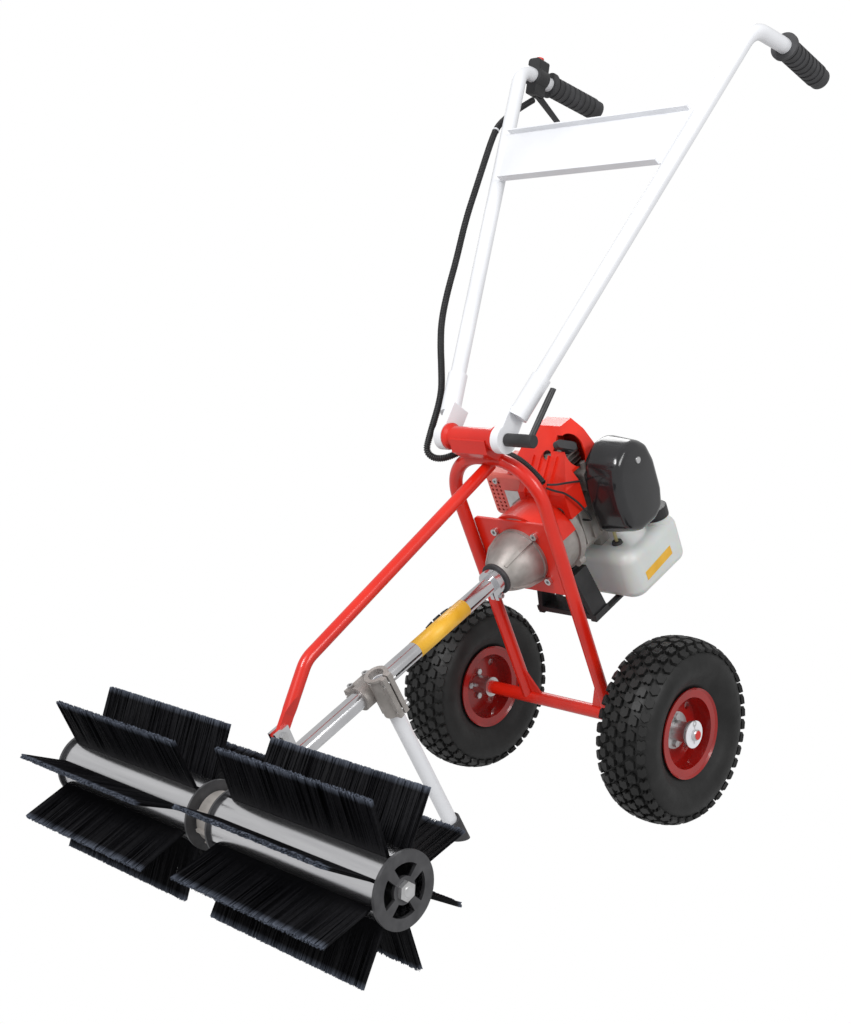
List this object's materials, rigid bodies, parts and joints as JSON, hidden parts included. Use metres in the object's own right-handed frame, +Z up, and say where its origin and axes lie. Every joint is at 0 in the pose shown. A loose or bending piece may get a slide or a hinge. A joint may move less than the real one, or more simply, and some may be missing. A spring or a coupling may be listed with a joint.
{
  "type": "power brush sweeper",
  "caption": "Walk-behind power sweeper: twin-drum bristle brush on a shaft drive, small engine on a red arch frame, turf wheels, stand leg and a folding white handlebar.",
  "frame": {"origin": "centre of the bounding box, on the floor", "axes": "+Z up, brush at -Y, handles at +Y, the operator's left at +X, brush axis and wheel axle along X"},
  "size_m": [0.616, 1.0301, 1.1026],
  "materials": {
    "tyre": "worn satin rubber",
    "red_rim": "glossy paint",
    "zinc": "zinc plated",
    "red_frame": "glossy paint",
    "boom_silver": "polished",
    "cast_grey": "cast, matte",
    "drum_aluminium": "polished extrusion",
    "disc_grey": "satin",
    "bristle": "matte",
    "gear_steel": "machined",
    "bushing": "machined",
    "black_rubber": "matte",
    "white_paint": "glossy paint",
    "bolt_zinc": "zinc plated",
    "black_plastic": "moulded",
    "black_paint": "satin paint",
    "gloss_black": "glossy moulding",
    "cream_plastic": "moulded",
    "red_button": "glossy moulding",
    "red_plastic": "glossy moulding",
    "red_guard": "glossy paint",
    "muffler_steel": "pressed sheet",
    "tank_plastic": "translucent"
  },
  "bodies": {
    "frame": {"arch_tube": "red_frame", "axle_rod": "zinc", "boom_clamps": "boom_silver", "carburettor": "cast_grey", "clutch_housing": "cast_grey", "crankcase": "cast_grey", "cylinder": "cast_grey", "drive_bearings": "bushing", "engine_plate": "red_frame", "engine_stand": "black_paint", "engine_wires": "black_plastic", "fan_housing": "red_plastic", "filter_cover": "gloss_black", "frame_conduit": "black_plastic", "frame_screws": "zinc", "fuel_tank": "tank_plastic", "gearbox_housing": "cast_grey", "leg_bracket": "cast_grey", "muffler": "muffler_steel", "muffler_guard": "red_guard", "pivot_saddle": "red_frame", "plug_cap": "black_rubber", "rubber_ring": "black_rubber", "shaft_tube": "boom_silver", "starter_housing": "black_plastic", "strut": "red_frame", "top_cover": "red_plastic"},
    "brush": {"brush_shaft": "zinc", "bevel_gear": "gear_steel", "brush_drums": "drum_aluminium", "drum_end_plates": "disc_grey", "left_bristles": "bristle", "right_bristles": "bristle"},
    "drive": {"drive_shaft": "zinc", "drive_pinion": "gear_steel", "clutch_drum": "gear_steel"},
    "crank": {"crankshaft": "zinc", "flywheel": "cast_grey", "clutch_shoes": "gear_steel"},
    "left_wheel": {"left_tyre": "tyre", "left_rim": "red_rim", "left_hub": "zinc"},
    "right_wheel": {"right_tyre": "tyre", "right_rim": "red_rim", "right_hub": "zinc"},
    "handlebar": {"left_handle_tube": "white_paint", "right_handle_tube": "white_paint", "handle_crosspiece": "white_paint", "left_grip": "black_rubber", "right_grip": "black_rubber", "throttle_housing": "cream_plastic", "handle_conduit": "black_plastic", "pivot_bolt": "bolt_zinc"},
    "clamp": {"clamp_lever": "black_plastic"},
    "throttle": {"throttle_lever": "black_plastic"},
    "stop": {"stop_button": "red_button"},
    "leg": {"leg_tube": "white_paint", "leg_foot": "black_rubber"},
    "cap": {"fuel_cap": "black_plastic"},
    "starter": {"starter_handle": "black_plastic"}
  },
  "joints": [
    {"name": "brush_spin", "type": "hinge", "parent": "frame", "child": "brush", "pos_m": [0, -0.4134, 0.11], "axis": [1, 0, 0], "continuous": true},
    {"name": "drive_spin", "type": "hinge", "parent": "frame", "child": "drive", "pos_m": [0, -0.4134, 0.11], "axis": [0, 0.8988, 0.4384], "continuous": true},
    {"name": "crank_spin", "type": "hinge", "parent": "frame", "child": "crank", "pos_m": [0, -0.4134, 0.11], "axis": [0, 0.8988, 0.4384], "continuous": true},
    {"name": "left_wheel_spin", "type": "hinge", "parent": "frame", "child": "left_wheel", "pos_m": [0.185, 0.2106, 0.13], "axis": [1, 0, 0], "continuous": true},
    {"name": "right_wheel_spin", "type": "hinge", "parent": "frame", "child": "right_wheel", "pos_m": [-0.185, 0.2106, 0.13], "axis": [1, 0, 0], "continuous": true},
    {"name": "handlebar_fold", "type": "hinge", "parent": "frame", "child": "handlebar", "pos_m": [0, 0.0066, 0.533], "axis": [1, 0, 0], "range_deg": [-30, 90]},
    {"name": "clamp_lever_turn", "type": "hinge", "parent": "handlebar", "child": "clamp", "pos_m": [0.095, 0.0066, 0.533], "axis": [1, 0, 0], "range_deg": [0, 90]},
    {"name": "throttle_squeeze", "type": "hinge", "parent": "handlebar", "child": "throttle", "pos_m": [-0.21006, 0.36873, 1.04492], "axis": [0.997, 0.0769, 0], "range_deg": [0, 18], "stiffness_Nm_per_rad": 0.4, "springref_deg": -17.19},
    {"name": "stop_press", "type": "slide", "parent": "handlebar", "child": "stop", "axis": [0.0161, -0.2088, -0.9778], "range_m": [0, 0.002], "stiffness_N_per_m": 300, "springref_m": -0.002},
    {"name": "leg_raise", "type": "slide", "parent": "frame", "child": "leg", "axis": [0, -0.5148, 0.8573], "range_m": [0, 0.12]},
    {"name": "fuel_cap_turn", "type": "hinge", "parent": "frame", "child": "cap", "pos_m": [0.072, 0.31104, 0.41883], "axis": [0, -0.4384, 0.8988], "range_deg": [0, 90]},
    {"name": "starter_pull", "type": "slide", "parent": "frame", "child": "starter", "axis": [-1, 0, 0], "range_m": [0, 0.3], "stiffness_N_per_m": 40, "springref_m": -0.05}
  ],
  "couplings": [
    {"joint": "drive_spin", "follows": "brush_spin", "ratio": -2}
  ]
}
